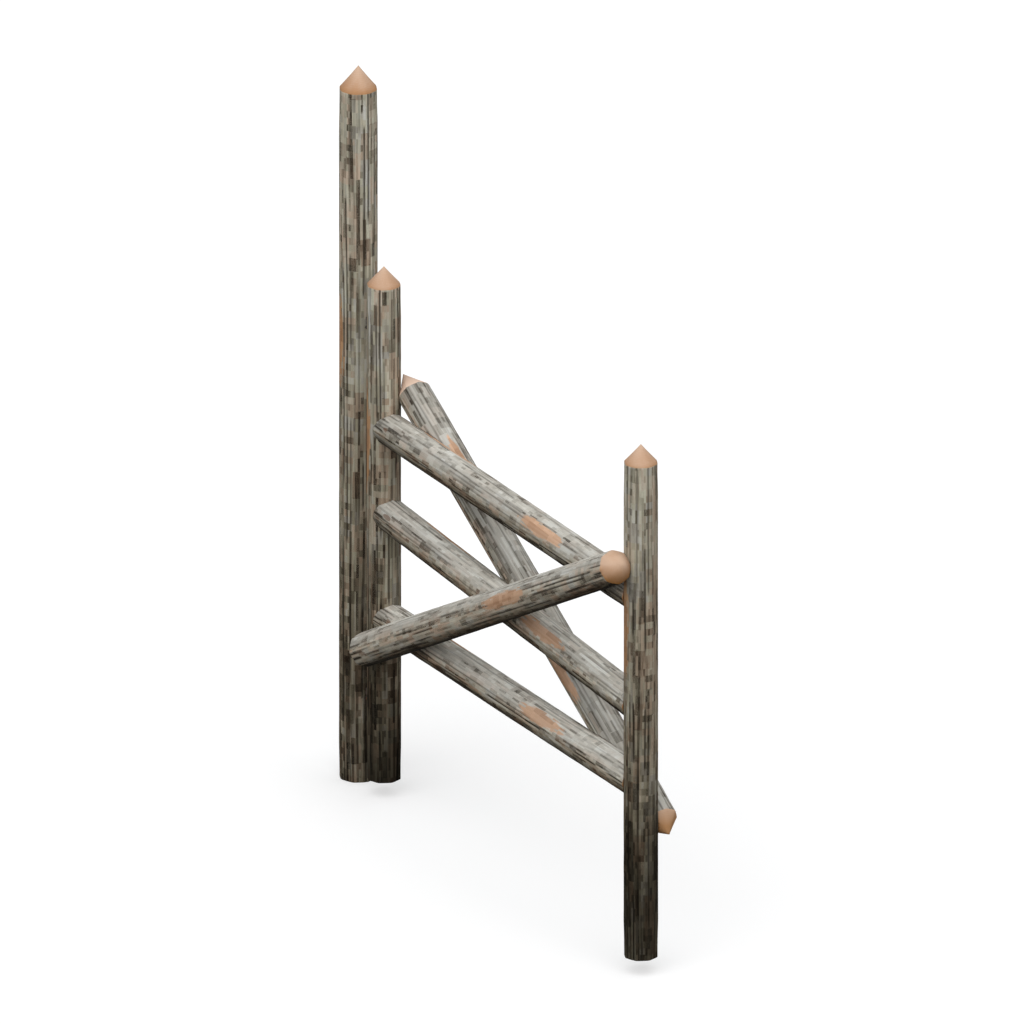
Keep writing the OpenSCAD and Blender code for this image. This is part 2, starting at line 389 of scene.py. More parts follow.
# %% List the braces
def brace(name, seed, ends, rims_off, point_heights, grime, bare, split=None):
    """A crossing brace, between its places at the heel stile and the head stile."""
    place, length = lying(*ends)
    rims = (rims_off[0], length + rims_off[1])
    points = [(rims[0], -point_heights[0]), (rims[1], point_heights[1])]
    poles.append(Pole(name, "leaf", "pole_bark", seed, BRACE_R, place, *rims,
                      points, rims, grime, bare, split))
    print(name, "from", round(rims[0], 3), "to", round(rims[1], 3))


# The pair before the bare patches sets where painted shade darkens the underside of each brace.
brace("front_brace", 31, ((-0.1005, 0.511), (-0.116, 1.536)), (0.050, 0.022), (0.073, 0.073),
      (0.5, 1.02), [(-98, 1.42, 26, 0.18)], -62)
brace("back_brace", 32, ((0.090, 1.544), (0.090, 0.500)), (0.079, -0.014), (0.103, 0.073),
      (0.2, 1.1), [(-175, 0.475, 15, 0.12), (-100, 1.44, 24, 0.19)])

# %% [markdown]
# ## Squared ends
# A maker trues the last hand's breadth of each pole with a few long strokes, which fade out along
# the log. A boolean could cut these flats, but their edges would be too crisp. Here the surface
# is pressed in by as much as a flat lies under the round.

# %% Define the long flats
HEWN_DEPTH = 0.003
HEWN_FLATS = 8
FLATNESS = 0.7
SQUARED_LENGTH = 0.16
SQUARED_FULL = 0.01


def flat_share(turn):
    """1 in the middle of a hewn flat and less at its corners."""
    step = math.tau / HEWN_FLATS
    aside = (turn * math.tau) % step - step / 2
    return np.cos(aside) ** FLATNESS


def squared_off(log, turn, along):
    """Depth of the long flats that run out from each end of a pole."""
    depth = np.maximum(log.radius - (log.radius - HEWN_DEPTH) / flat_share(turn), 0)
    near = np.zeros(np.broadcast(turn, along).shape)
    for end in log.squared:
        near = np.maximum(near, ease(SQUARED_LENGTH, SQUARED_FULL, np.abs(along - end)))
    return depth * near


print("flats round a pole:", HEWN_FLATS)

# %% [markdown]
# ## Cracks
# Weathered bark splits along the grain into long narrow cracks. They could be a bump in the
# finish, but then a close view shows a smooth outline, so the surface itself goes down into each
# crack. A crack keeps to its lane round the log, sways and trembles in it, and opens and closes
# along the way. Near the ends of a lying pole, short checks join them.

# %% Define the cracks
CRACK_LANES = 27
CRACK_HALF_WIDTH = 0.0030
SWAY = 0.7
SWAY_LENGTH = 0.6
TREMBLE = 0.03
TREMBLE_LENGTH = 0.05
CRACK_LENGTH = 0.22
CHECK_LENGTH = 0.17
CHECK_SHARE = 0.28


def end_checks(log, lane, along):
    """How far the short checks at the ends of a lying pole are open."""
    seed = log.seed
    reach = CHECK_LENGTH * (0.3 + 0.7 * chance(seed + 105, lane))
    found = np.zeros(np.broadcast(lane, along).shape)
    for end in log.squared:
        check = ease(reach, reach * 0.6, np.abs(along - end))
        found = np.maximum(found, check * (chance(seed + 106, lane) < CHECK_SHARE))
    return found * (log.slot == "pole_bark")


def long_cracks(log, turn, along):
    """0 on the ridges, to 1 in the middle of a long crack or a check."""
    seed = log.seed
    sway = (cloud(seed + 100, turn, along / SWAY_LENGTH, 5) - 0.5) * SWAY
    sway += (cloud(seed + 101, turn, along / TREMBLE_LENGTH, 9) - 0.5) * TREMBLE
    place = turn * CRACK_LANES + sway
    lane = np.round(place)
    off = (place - lane) * math.tau * log.radius / CRACK_LANES
    lane = lane % CRACK_LANES
    open_here = wander(seed + 102, lane, along / CRACK_LENGTH + 31 * chance(seed + 103, lane))
    weight = ease(0.50, 0.62, open_here) * (0.25 + 0.75 * chance(seed + 104, lane))
    weight = np.maximum(weight, end_checks(log, lane, along))
    return weight * np.exp(-(off / CRACK_HALF_WIDTH) ** 2)


print("cracks round a pole:", CRACK_LANES)

# %% [markdown]
# ## Splits and knots
# A pole dries from its ends, and the strain opens one wide split there. Beside it sits the brown
# eye of a cut branch. Chance could place both, but here each has a known place, and its shape
# comes from the distance to that place on the log's skin.

# %% Define the splits and knots
SPLIT_LENGTH = 0.08
SPLIT_HALF_WIDTH = 0.005
SPLIT_SWAY = 0.004
SPLIT_SWAY_LENGTH = 0.02
KNOT_TURN = 10
KNOT_PLACE = 0.095
KNOT_HALF = (0.011, 0.036)


def turned_from(turn, degrees):
    """Part of a turn from a direction round the log, from -0.5 to 0.5."""
    return (turn - degrees / 360 + 0.5) % 1 - 0.5


def end_split(log, turn, along):
    """0 outside the split at the heel end, to 1 in its middle."""
    sway = cloud(log.seed + 107, 0 * turn, along / SPLIT_SWAY_LENGTH, 3) - 0.5
    off = turned_from(turn, log.split) * math.tau * log.radius + SPLIT_SWAY * sway
    from_end = np.abs(along - log.squared[0])
    open_here = ease(SPLIT_LENGTH, 0.7 * SPLIT_LENGTH, from_end)
    return open_here * np.exp(-(off / SPLIT_HALF_WIDTH) ** 2)


def cracks(log, turn, along):
    """0 on the ridges, to 1 in the middle of any crack, check or split."""
    depth = long_cracks(log, turn, along)
    if log.split is not None:
        depth = np.maximum(depth, end_split(log, turn, along))
    return depth


def knot(log, turn, along):
    """1 in the brown knot near the split heel end, 0 elsewhere."""
    if log.split is None:
        return np.zeros(np.broadcast(turn, along).shape)
    aside = turned_from(turn, log.split - KNOT_TURN)
    off = aside * math.tau * log.radius / KNOT_HALF[0]
    beyond = (along - log.squared[0] - KNOT_PLACE) / KNOT_HALF[1]
    return ease(1.3, 0.5, np.hypot(off, beyond))


print("poles with a split:", [log.name for log in poles if log.split is not None])

# %% [markdown]
# ## Bark relief
# Between its cracks the bark stands in low ridges, and bare wood lies a little lower.
# A displacement modifier could press this in, but it can't tell the paint where the cracks are.
# One function of the place does both. It only goes inwards, so the gate never grows.

# %% Define the bark
UNDER_SKIN = 0.0005
CRACK_DEPTH = 0.0028
RIDGE_DEPTH = 0.0008
BULGE_DEPTH = 0.0006
BARE_DEPTH = 0.0009


def bareness(log, turn, along):
    """1 where the bark has come off, 0 elsewhere, with a soft edge."""
    found = np.zeros(np.broadcast(turn, along).shape)
    for angle, middle, half_angle, half_length in log.bare:
        aside = turned_from(turn, angle)
        reach = np.hypot(aside * 360 / half_angle, (along - middle) / half_length)
        found = np.maximum(found, ease(1.4, 0.6, reach))
    return found


def relief(log, turn, along):
    """Depth of the surface under the round CAD pole, in metres."""
    ridges = cloud(log.seed + 120, turn, along / 0.05, CRACK_LANES)
    bulges = cloud(log.seed + 121, turn, along / 0.35, 5)
    bare = ease(0.45, 0.6, bareness(log, turn, along))
    bark = CRACK_DEPTH * cracks(log, turn, along) + RIDGE_DEPTH * ridges
    skin = UNDER_SKIN + BULGE_DEPTH * bulges + bark * (1 - bare) + BARE_DEPTH * bare
    trued = UNDER_SKIN + squared_off(log, turn, along) + 0.5 * (skin - UNDER_SKIN)
    return np.maximum(skin, trued)


sample = relief(poles[0], np.linspace(0, 1, 400)[None, :], np.linspace(0, 2.6, 900)[:, None])
print("bark depth in mm:", round(sample.min() * 1000, 2), "to", round(sample.max() * 1000, 2))

# %% [markdown]
# ## Hewn points
# A pointed end sheds rain. It is hewn with a hatchet in a few flat cuts that meet at the tip.
# A cone would be simpler, but a low pyramid shows the flats, and its rim waves a little where
# each flat runs out through the bark. The log's rings are bent to follow that rim.

# %% Define the hewn point
RIM_DEPTH = 0.0012


def hewn_radius(log, point, turn, along):
    """Distance from the axis to a hewn flat."""
    rim, height = point
    left = 1 - (along - rim) / height
    middle = (log.radius - HEWN_DEPTH) * left - UNDER_SKIN
    return np.maximum(middle, 0) / flat_share(turn) ** np.clip(left, 0.1, 1)


def rim_along(log, point, turn):
    """Where the flats meet the bark, as a place along the axis."""
    rim, height = point
    edge = (log.radius - RIM_DEPTH) * flat_share(turn)
    edge = np.minimum(edge, log.radius - HEWN_DEPTH - RIM_DEPTH)
    return rim + height * (1 - (edge + UNDER_SKIN) / (log.radius - HEWN_DEPTH))


def tip_along(log, point):
    """Where the flats meet at the tip, as a place along the axis."""
    rim, height = point
    return rim + height * (1 - UNDER_SKIN / (log.radius - HEWN_DEPTH))


print("tip of the post at", round(tip_along(poles[0], poles[0].points[0]), 4), "metres")

# %% [markdown]
# ## Rings of a log
# A log is a stack of rings, with fine steps round it and coarser ones along it. A subdivided
# cylinder with a displacement would do nearly the same, but its rings could not follow the rim.

# %% Define the rings
AROUND = 112
RING_STEP = 0.0055
POINT_RINGS = 9
RIM_BLEND = 0.04


def bark_rings(log, turn):
    """Places along the axis and distances from it for the rings that carry bark."""
    rings = int(round((log.stop - log.start) / RING_STEP))
    levels = np.linspace(log.start, log.stop, rings + 1)[:, None]
    along = np.repeat(levels, AROUND, axis=1)
    for rim, height in log.points:
        way = math.copysign(1, height)
        near = np.clip(1 - way * (rim - levels) / RIM_BLEND, 0, 1)
        along = along + near * (rim_along(log, (rim, height), turn) - rim)[None, :]
    return along, log.radius - relief(log, turn[None, :], along)


def point_rings(log, point, turn):
    """The same for the rings of a hewn point, from its rim nearly to its tip."""
    steps = np.linspace(0, 1, POINT_RINGS + 1)[1:-1, None]
    along = rim_along(log, point, turn) * (1 - steps) + tip_along(log, point) * steps
    return along, hewn_radius(log, point, turn[None, :], along)


print("corners in a ring:", AROUND)

# %% [markdown]
# ## Turning a log
# The rings are joined by a skin of quads. An open tube would look the same, but the carving needs
# a closed body, so a fan of triangles closes each end. The hewn faces get a material of their own,
# for clean wood.

# %% Define the log mesh
def tube_faces(rings):
    """Quads between neighbouring rings, and a fan of triangles at each end."""
    ring = np.arange(rings - 1)[:, None] * AROUND
    here = np.arange(AROUND)[None, :]
    after = (here + 1) % AROUND
    quads = np.stack([ring + here, ring + after, ring + AROUND + after, ring + AROUND + here], -1)
    faces = quads.reshape(-1, 4).tolist()
    last = (rings - 1) * AROUND
    foot = rings * AROUND
    for step in range(AROUND):
        other = (step + 1) % AROUND
        faces += [(foot, other, step), (foot + 1, last + step, last + other)]
    return faces


def log_mesh(log):
    """A closed log in its own frame, with its axis on +Z. Hewn faces get material 1."""
    turn = np.arange(AROUND) / AROUND
    along, radius = bark_rings(log, turn)
    bark_count = len(along)
    first_bark = 0
    ends = [log.start, log.stop]
    for point in log.points:
        flat_along, flat_radius = point_rings(log, point, turn)
        if point[1] > 0:
            along = np.vstack([along, flat_along])
            radius = np.vstack([radius, flat_radius])
            ends[1] = tip_along(log, point)
        else:
            along = np.vstack([flat_along[::-1], along])
            radius = np.vstack([flat_radius[::-1], radius])
            ends[0] = tip_along(log, point)
            first_bark = len(flat_along)
    angle = turn * math.tau
    grid = np.stack([radius * np.cos(angle), radius * np.sin(angle), along], axis=-1)
    corners = np.vstack([grid.reshape(-1, 3), [[0, 0, ends[0]], [0, 0, ends[1]]]])
    mesh = bpy.data.meshes.new(log.name + "_bark")
    mesh.from_pydata(corners.tolist(), [], tube_faces(len(along)))
    ring_number = np.repeat(np.arange(len(along) - 1), AROUND)
    cut = (ring_number < first_bark) | (ring_number >= first_bark + bark_count - 1)
    cut = np.concatenate([cut, np.ones(2 * AROUND, bool)])
    mesh.polygons.foreach_set("material_index", cut.astype(np.int32))
    return mesh


trial = log_mesh(poles[0])
print("faces on the tallest log:", len(trial.polygons))
bpy.data.meshes.remove(trial)

# %% [markdown]
# ## Colours as they look
# A paint maker matches colours by eye, so they are written here as they look, from 0 to 255.
# Shaders count light, and what looks half as bright is only a fifth of the light, so each colour
# is turned to linear numbers first.

# %% Helpers for colour
def linear(colour):
    """The linear numbers of a colour given as it looks."""
    return tuple(((v / 255 + 0.055) / 1.055) ** 2.4 if v > 10 else v / 3295 for v in colour)


def paint(colour):
    """The same with the fourth number that a colour socket takes."""
    return (*linear(colour), 1.0)


def multiplied(colour, by):
    return blend(1.0, colour, by, "MULTIPLY")


def ramp(value, stops):
    """Turns a number to a colour, through colours given as they look."""
    node = node_for("ValToRGB", value)
    elements = node.color_ramp.elements
    while len(elements) < len(stops):
        elements.new(0.5)
    for element, (place, colour) in zip(elements, stops):
        element.position = place
        element.color = paint(colour)
    return node.outputs[0]


print("a mid bark grey in linear light:", [round(v, 3) for v in linear((150, 142, 128))])

# %% [markdown]
# ## Grain that follows the log
# The paint asks for the place in the log's own frame, which is written on each mesh later.
# Generated coordinates would stretch with the length of a pole. The finest grain is too small
# for a mesh, so it is a bump: it tilts the light and leaves the shape alone.

# %% Helpers for grain and finish
def painted(tree, name, output="Fac"):
    """A value that is written on the corners of the mesh."""
    node = tree.nodes.new("ShaderNodeAttribute")
    node.attribute_name = name
    return node.outputs[output]


def stretch(value, low, high, new_low=0.0, new_high=1.0, kind="LINEAR"):
    sockets = (value, low, high, new_low, new_high)
    return node_for("MapRange", *sockets, interpolation_type=kind).outputs[0]


def spread(noise_value, new_low, new_high):
    """Stretches a noise, which lies mostly between 0.3 and 0.7."""
    return stretch(noise_value, 0.3, 0.7, new_low, new_high)


def noise(place, across, along, detail=2.0, rough=0.5):
    """Soft noise, in waves to the metre across and along a pole."""
    scaled = node_for("VectorMath", place, (across, across, along), operation="MULTIPLY")
    return node_for("TexNoise", scaled.outputs[0], None, 1.0, detail, rough).outputs[0]


def roll(*values):
    """White noise for whole numbers: the same value all over a flake."""
    cell = node_for("CombineXYZ", *values)
    return node_for("TexWhiteNoise", cell.outputs[0], noise_dimensions="3D").outputs


def finish(shader, colour, roughness, height, strength, depth):
    """Feeds the shader, with a bump of some strength and depth."""
    bump = shader.id_data.nodes.new("ShaderNodeBump")
    for socket, value in (("Strength", strength), ("Distance", depth), ("Height", height)):
        feed(bump.inputs[socket], value)
    for socket, value in (("Base Color", colour), ("Roughness", roughness), ("Normal", bump.outputs[0])):
        feed(shader.inputs[socket], value)


print("grain is laid in the log's own frame")

# %% [markdown]
# ## Flakes of bark
# The bark weathers to narrow flakes of grey, greenish grey and brown. The log is divided into
# strips round its girth, and each strip into flakes of its own length, so no joints line up.
# Three sizes lie over each other: fine, long and broad. An image of bark could be wrapped round,
# but it would show a seam.

# %% Define the flakes
STRIPS = 48
ROW = 0.026
FINE_ROWS = (1.0, 4.0)
LONG_ROWS = (5.0, 22.0)
BROAD_ROWS = (1.0, 5.0)
PALE_KNEE = (0.3, 0.62)


def flakes(place, numbers, strips, rows, seed, offset):
    """Tone and hue of the flake at each place, for one size of flake."""
    angle = sums("ARCTAN2", numbers[1], numbers[0])
    sway = spread(noise(place, 22.0, 0.8, 1.0), -0.7, 0.7)
    where = times(angle, strips / math.tau, sway)
    strip = sums("WRAP", sums("FLOOR", where), float(strips), 0.0)
    strip_roll = roll(strip, seed, offset)["Value"]
    count = sums("FLOOR", stretch(strip_roll, 0.0, 1.0, *rows))
    level = sums("DIVIDE", numbers[2], ROW)
    level = sums("FLOOR", times(strip_roll, 0.3, level))
    level = sums("ADD", level, sums("FLOOR", times(strip_roll, 397.0)))
    row = sums("FLOOR", sums("DIVIDE", level, count))
    flake = roll(sums("ADD", strip, offset), row, seed)
    return flake["Value"], node_for("SeparateColor", flake["Color"]).outputs[1]


def mostly_pale(tone):
    """Bends an even spread of tones: most flakes pale, a few very dark."""
    rising = times(tone, PALE_KNEE[1] / PALE_KNEE[0])
    slow = stretch(tone, PALE_KNEE[0], 1.0, PALE_KNEE[1], 1.0)
    return sums("MINIMUM", rising, sums("MAXIMUM", slow, PALE_KNEE[1]))


print("strips of flakes round a pole:", STRIPS)

# %% [markdown]
# ## Tone of the bark
# One noise could shade the bark, but it would look like stone. Each place takes its tone from all
# three sizes of flake, from the fibre and from wide patches. Sun and rain bleach the upper side of
# a lying pole, where the flakes lose their contrast, and the same upper side is painted lighter as
# light from above.

# %% Define the bark's tone
FINE_SHARE = 0.53
BROAD_SHARE = 0.47
LONG_SHARE = 0.4
# Tone and share of the paler upper side: bleaching and painted light from above.
BLEACHED_AND_LIT_TONE = 0.80
BLEACHED_AND_LIT_TONE_SHARE = 0.28
BARK_TONES = [
    (0.25, (62, 56, 49)),
    (0.44, (114, 107, 96)),
    (0.60, (162, 156, 144)),
    (0.74, (181, 174, 161)),
    (0.95, (204, 200, 189)),
]


def bark_tone(fine, long, broad, fibre, patches, bleach_and_top_light):
    """How pale the bark is at each place, from 0 to 1."""
    tone = times(mostly_pale(fine), FINE_SHARE)
    tone = times(mostly_pale(broad), BROAD_SHARE, tone)
    streaky = times(bleach_and_top_light, -0.1, LONG_SHARE)
    longer = sums("SUBTRACT", mostly_pale(long), tone)
    tone = times(longer, streaky, tone)
    tone = sums("ADD", tone, spread(fibre, -0.10, 0.10))
    tone = sums("ADD", tone, spread(patches, -0.09, 0.09))
    # The upper side of a lying pole: bleached, and painted lighter as light from above.
    bleached_and_lit_tone = times(bleach_and_top_light, BLEACHED_AND_LIT_TONE_SHARE)
    return times(sums("SUBTRACT", BLEACHED_AND_LIT_TONE, tone), bleached_and_lit_tone, tone)


print("bark tones from", BARK_TONES[0][1], "to", BARK_TONES[-1][1])

# %% [markdown]
# ## Tint of the bark
# Grey alone looks like concrete. Dusty pink, a breath of moss and a cold grey come over the
# flakes. Mixed in as paint they would hide the tone, so they multiply it instead. The upper side,
# bleached and painted lighter as light from above, goes cold.

# %% Define the bark's tint
CLEAN_TINT = (254, 248, 240)
COLD_TINT = (248, 251, 255)
BLEACHED_AND_LIT_TINT = (242, 247, 255)
BLEACHED_AND_LIT_SHARE = 0.8


def bark_tint(fine_hue, broad_hue, patches, bleach_and_top_light, dusty, moss):
    """The tint that multiplies the tone."""
    hue = times(patches, 0.8)
    hue = times(broad_hue, 0.45, hue)
    hue = times(fine_hue, 0.25, hue)
    tint = ramp(hue, [(0.52, dusty), (0.68, CLEAN_TINT), (0.86, moss), (1.0, COLD_TINT)])
    # The bleached upper side, painted lighter as light from above, goes cold.
    bleached_and_lit = times(bleach_and_top_light, BLEACHED_AND_LIT_SHARE)
    return blend(bleached_and_lit, tint, paint(BLEACHED_AND_LIT_TINT))


print("tint of bleached bark:", BLEACHED_AND_LIT_TINT)

# %% [markdown]
# ## Cracks, knots and bare wood
# Dirt fills the cracks, and they read as dark lines. Knots and a few old flakes are brown. Where
# the bark is off, tan wood shows. A smooth edge would look like a sticker, so it follows the
# flakes, as bark comes off by whole flakes.

# %% Define cracks, knots and bare wood
CRACK_COLOUR = (58, 52, 44)
KNOT_COLOUR = (112, 84, 66)
OLD_WOOD = (162, 118, 86)


def add_cracks(tree, colour, fibre, bleach_and_top_light):
    crack = times(painted(tree, "crack"), stretch(fibre, 0.2, 0.6, 0.8, 1.4))
    # Cracks are fainter on the bleached upper side, which is painted lighter.
    crack = times(crack, stretch(bleach_and_top_light, 0.0, 1.0, 1.0, 0.6), clamp=True)
    return blend(crack, colour, paint(CRACK_COLOUR))


def add_knots(tree, colour, broad):
    knotty = sums("ADD", broad, painted(tree, "knot"))
    knotty = stretch(knotty, 1.25, 1.35, 0.0, 0.7)
    return blend(knotty, colour, paint(KNOT_COLOUR))


def add_bare_wood(tree, colour, tone, fine_hue, broad_hue, tan):
    edge = times(fine_hue, 0.8, painted(tree, "bare"))
    bare = stretch(edge, 0.80, 1.02, 0.0, 0.85, "SMOOTHSTEP")
    wood_tone = times(broad_hue, 0.8, times(tone, 0.3))
    wood = blend(wood_tone, paint(OLD_WOOD), paint(tan))
    return blend(bare, colour, wood)


print("colour in the cracks:", CRACK_COLOUR)

# %% [markdown]
# ## Darkening low down and painted shade underneath
# A post is painted darker and browner towards its foot, and a lying pole near the ground. The
# underside of a lying pole gets the same darkening as painted shade. A plain gradient would look
# airbrushed, so dark flakes darken first, and the edge of the darkening turns ragged.

# %% Define the darkening and painted shade
LOW_DARK_AND_SHADE_TINT = (1.0, 0.90, 0.76, 1.0)
BLACK = (0.0, 0.0, 0.0, 1.0)


# Painted shade under a lying pole, and darker low down: browner, then near black.
def add_low_dark_and_shade(tree, colour, tone, fibre):
    rag = spread(fibre, -0.06, 0.06)
    rag = times(tone, -0.85, sums("ADD", rag, 0.56))
    rag = sums("MINIMUM", rag, 0.06)
    low_dark_and_shade = painted(tree, "low_dark_and_shade")
    some = stretch(low_dark_and_shade, 0.3, 0.7, 0.2, 1.0)
    some = times(some, stretch(low_dark_and_shade, 0.8, 0.95, 1.0, 0.1))
    low_dark_and_shade = times(rag, some, low_dark_and_shade, clamp=True)
    colour = multiplied(colour, blend(low_dark_and_shade, WHITE, LOW_DARK_AND_SHADE_TINT))
    return blend(low_dark_and_shade, colour, BLACK)


print("tint of damp bark:", LOW_DARK_AND_SHADE_TINT[:3])

# %% [markdown]
# ## Paint for bark
# Now the steps are put together. One finish could serve all the poles, but the posts and the lying
# poles were felled at different times, so the two differ in brightness, in the tan of their bare
# wood and in their tints.

# %% Mix the bark paint
def bark_material(name, brightness, tan, dusty, moss):
    material, tree, shader = new_material(name, 0.9, 0.03)
    place = painted(tree, "log_place", "Vector")
    numbers = node_for("SeparateXYZ", place).outputs
    seed = painted(tree, "pole_seed")
    bleach_and_top_light = painted(tree, "bleach_and_top_light")
    fine, fine_hue = flakes(place, numbers, STRIPS, FINE_ROWS, seed, 3.0)
    long = flakes(place, numbers, STRIPS, LONG_ROWS, seed, 3.5)[0]
    broad, broad_hue = flakes(place, numbers, STRIPS // 3, BROAD_ROWS, seed, 51.0)
    fibre = noise(place, 420.0, 14.0, 3.0, 0.6)
    patches = noise(place, 13.0, 3.5, 2.0)
    tone = bark_tone(fine, long, broad, fibre, patches, bleach_and_top_light)
    tint = bark_tint(fine_hue, broad_hue, patches, bleach_and_top_light, dusty, moss)
    colour = multiplied(ramp(tone, BARK_TONES), tint)
    # Pole by pole paler or darker: partly uneven fading, partly painted light where other poles shade a
    # rail and on the upper side.
    colour = multiplied(colour, times(painted(tree, "fade_and_light"), brightness))
    colour = add_cracks(tree, colour, fibre, bleach_and_top_light)
    colour = add_knots(tree, colour, broad)
    colour = add_bare_wood(tree, colour, tone, fine_hue, broad_hue, tan)
    colour = add_low_dark_and_shade(tree, colour, tone, fibre)
    height = sums("ADD", fibre, times(tone, 0.4))
    finish(shader, colour, spread(fibre, 0.82, 0.98), height, 0.5, 0.0012)
    return material


bark_paint = {
    "post_bark": bark_material("post_bark", 1.0, (216, 166, 120), (255, 237, 225), (248, 251, 240)),
    "pole_bark": bark_material("pole_bark", 1.05, (218, 177, 145), (255, 232, 218), (249, 251, 246)),
}
print("bark paints:", ", ".join(bark_paint))

# %% [markdown]
# ## Paint for cut wood
# The hewn points, the sawn ends and the carved joints show clean tan wood. An image of end grain
# would have to be laid on each cut. Growth rings that are cylinders round the log's axis are right
# on all of them: rings on an end, long arches on a flat. The wood is browner at the rim of a point
# and near the ground, and where it looks down it is painted browner and darker as shade.

# %% Define the cut wood paint
RING_WAVES = 1300.0
RING_SWAY = 0.012
RIM_FROM, RIM_TO = 0.050, 0.072
# Share of the painted shade where cut wood looks down.
DOWN_SHADE_SHARE = 0.75
# Paler wood for the point that is painted lighter, as light falling on it.
PAINTED_LIGHT_WOOD = (232, 202, 180)


def wood_tone(from_pith, blur, fibre, shaded):
    """How pale the cut wood is, from its growth rings, its fibre and its pith."""
    bent = times(spread(blur, -0.5, 0.5), RING_SWAY, from_pith)
    ring = sums("SINE", times(bent, RING_WAVES))
    tone = times(ring, 0.06, stretch(blur, 0.25, 0.75, 0.2, 0.8))
    tone = sums("ADD", tone, spread(fibre, -0.12, 0.12))
    pith = times(stretch(from_pith, 0.0, 0.065, 0.1, -0.6), shaded)
    return sums("ADD", tone, sums("ADD", pith, 0.3))


def browned_and_shaded(tree, from_pith, fibre, shaded):
    """How brown the wood is painted, from 0 to 1: browner at the rim and near the ground, and painted
    shade where it looks down.
    """
    edge = stretch(from_pith, RIM_FROM, RIM_TO, 0.0, 0.5, "SMOOTHSTEP")
    edge = times(edge, spread(fibre, 0.6, 1.2))
    edge = times(edge, shaded)
    # Painted shade where the wood looks down, and browner near the ground.
    return times(painted(tree, "down_shade_and_low_brown"), DOWN_SHADE_SHARE, edge, clamp=True)


def wood_material(name, heart, sap, rim):
    material, tree, shader = new_material(name, 0.7, 0.12)
    place = painted(tree, "log_place", "Vector")
    numbers = node_for("SeparateXYZ", place).outputs
    square = times(numbers[0], numbers[0])
    square = times(numbers[1], numbers[1], square)
    from_pith = sums("SQRT", square)
    blur = noise(place, 16.0, 3.0, 3.0)
    fibre = noise(place, 380.0, 30.0, 3.0, 0.6)
    # 1 below and 0 on the upper side, which is painted lighter: pith and rim darken less there.
    shaded = stretch(painted(tree, "bleach_and_top_light"), 0.0, 0.8, 1.0, 0.0)
    tone = wood_tone(from_pith, blur, fibre, shaded)
    colour = ramp(tone, [(0.1, heart), (0.8, sap)])
    colour = blend(browned_and_shaded(tree, from_pith, fibre, shaded), colour, paint(rim))
    # Painted light: the upper point of the back brace is paler.
    colour = blend(painted(tree, "painted_light"), colour, paint(PAINTED_LIGHT_WOOD))
    finish(shader, colour, spread(fibre, 0.6, 0.85), fibre, 0.35, 0.0008)
    return material


cut_wood = wood_material("cut_wood", (186, 143, 109), (206, 174, 149), (164, 112, 54))
print("cut wood paint:", cut_wood.name)

# %% [markdown]
# ## Carving the joints
# The CAD poles already hold every cope, notch, mortise and tenon, in smooth round wood. Cutters
# could cut them all again, but each barked log is laid in its CAD pole and only what lies inside
# both is kept. What the CAD pole cuts becomes clean wood, and the rest of the log keeps its bark.

# %% Define the pattern and the clean up
WELD = 0.000002
SAME_PLACE = 0.0000001


def welded(mesh, distance, triangles=False):
    """Welds corners that lie together, and may cut the faces into triangles of the best shape."""
    shell = bmesh.new()
    shell.from_mesh(mesh)
    bmesh.ops.remove_doubles(shell, verts=shell.verts, dist=distance)
    if triangles:
        bmesh.ops.triangulate(shell, faces=shell.faces)
    open_edges = sum(not edge.is_manifold for edge in shell.edges)
    shell.to_mesh(mesh)
    shell.free()
    print(mesh.name, "has", open_edges, "open edges")


def pattern_of(node):
    """A closed copy of a CAD node's mesh, all in the second material."""
    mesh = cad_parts[node].data.copy()
    welded(mesh, WELD)
    mesh.materials.clear()
    mesh.materials.append(None)
    mesh.materials.append(cut_wood)
    mesh.polygons.foreach_set("material_index", np.ones(len(mesh.polygons), np.int32))
    return mesh


print("patterns are welded at", WELD, "metres")

# %% [markdown]
# ## One carved pole
# The boolean keeps the materials of both bodies. It could stay on the piece as a modifier, but its
# result becomes the piece's own mesh, which the weather is written on. Faces that meet at a slight
# angle are shaded as one round surface, and the edges of joints and points stay crisp.

# %% Define the carving
SMOOTH_BELOW = math.radians(38)


def carve(log):
    """The barked log with the joints of its CAD pole, in place."""
    rough = log_mesh(log)
    rough.materials.append(bark_paint[log.slot])
    rough.materials.append(cut_wood)
    piece = add_object(log.name + "_bark", rough)
    piece.matrix_world = log.place
    pattern = add_object("pattern", pattern_of(log.name))
    cut = piece.modifiers.new("joints", "BOOLEAN")
    cut.operation = "INTERSECT"
    cut.solver = "MANIFOLD"
    cut.object = pattern
    bpy.context.view_layer.update()
    graph = bpy.context.evaluated_depsgraph_get()
    carved = bpy.data.meshes.new_from_object(piece.evaluated_get(graph))
    piece.modifiers.clear()
    piece.data = carved
    for used in (pattern.data, rough):
        bpy.data.meshes.remove(used)
    carved.name = log.name + "_bark"
    welded(carved, SAME_PLACE, triangles=True)
    carved.shade_smooth()
    carved.set_sharp_from_angle(angle=SMOOTH_BELOW)
    return piece


print("crisp from", round(math.degrees(SMOOTH_BELOW)), "degrees")

# %% [markdown]
# ## Weather, painted shade and painted light on upright and lying poles
# A post is painted dark and brown at its foot and paler upwards. A lying pole gets painted shade
# underneath, is bleached and painted lighter on top, and is painted darker all over near the
# ground. A formula could make a post paler upwards, but a short list of heights and paleness is
# simpler to tune.

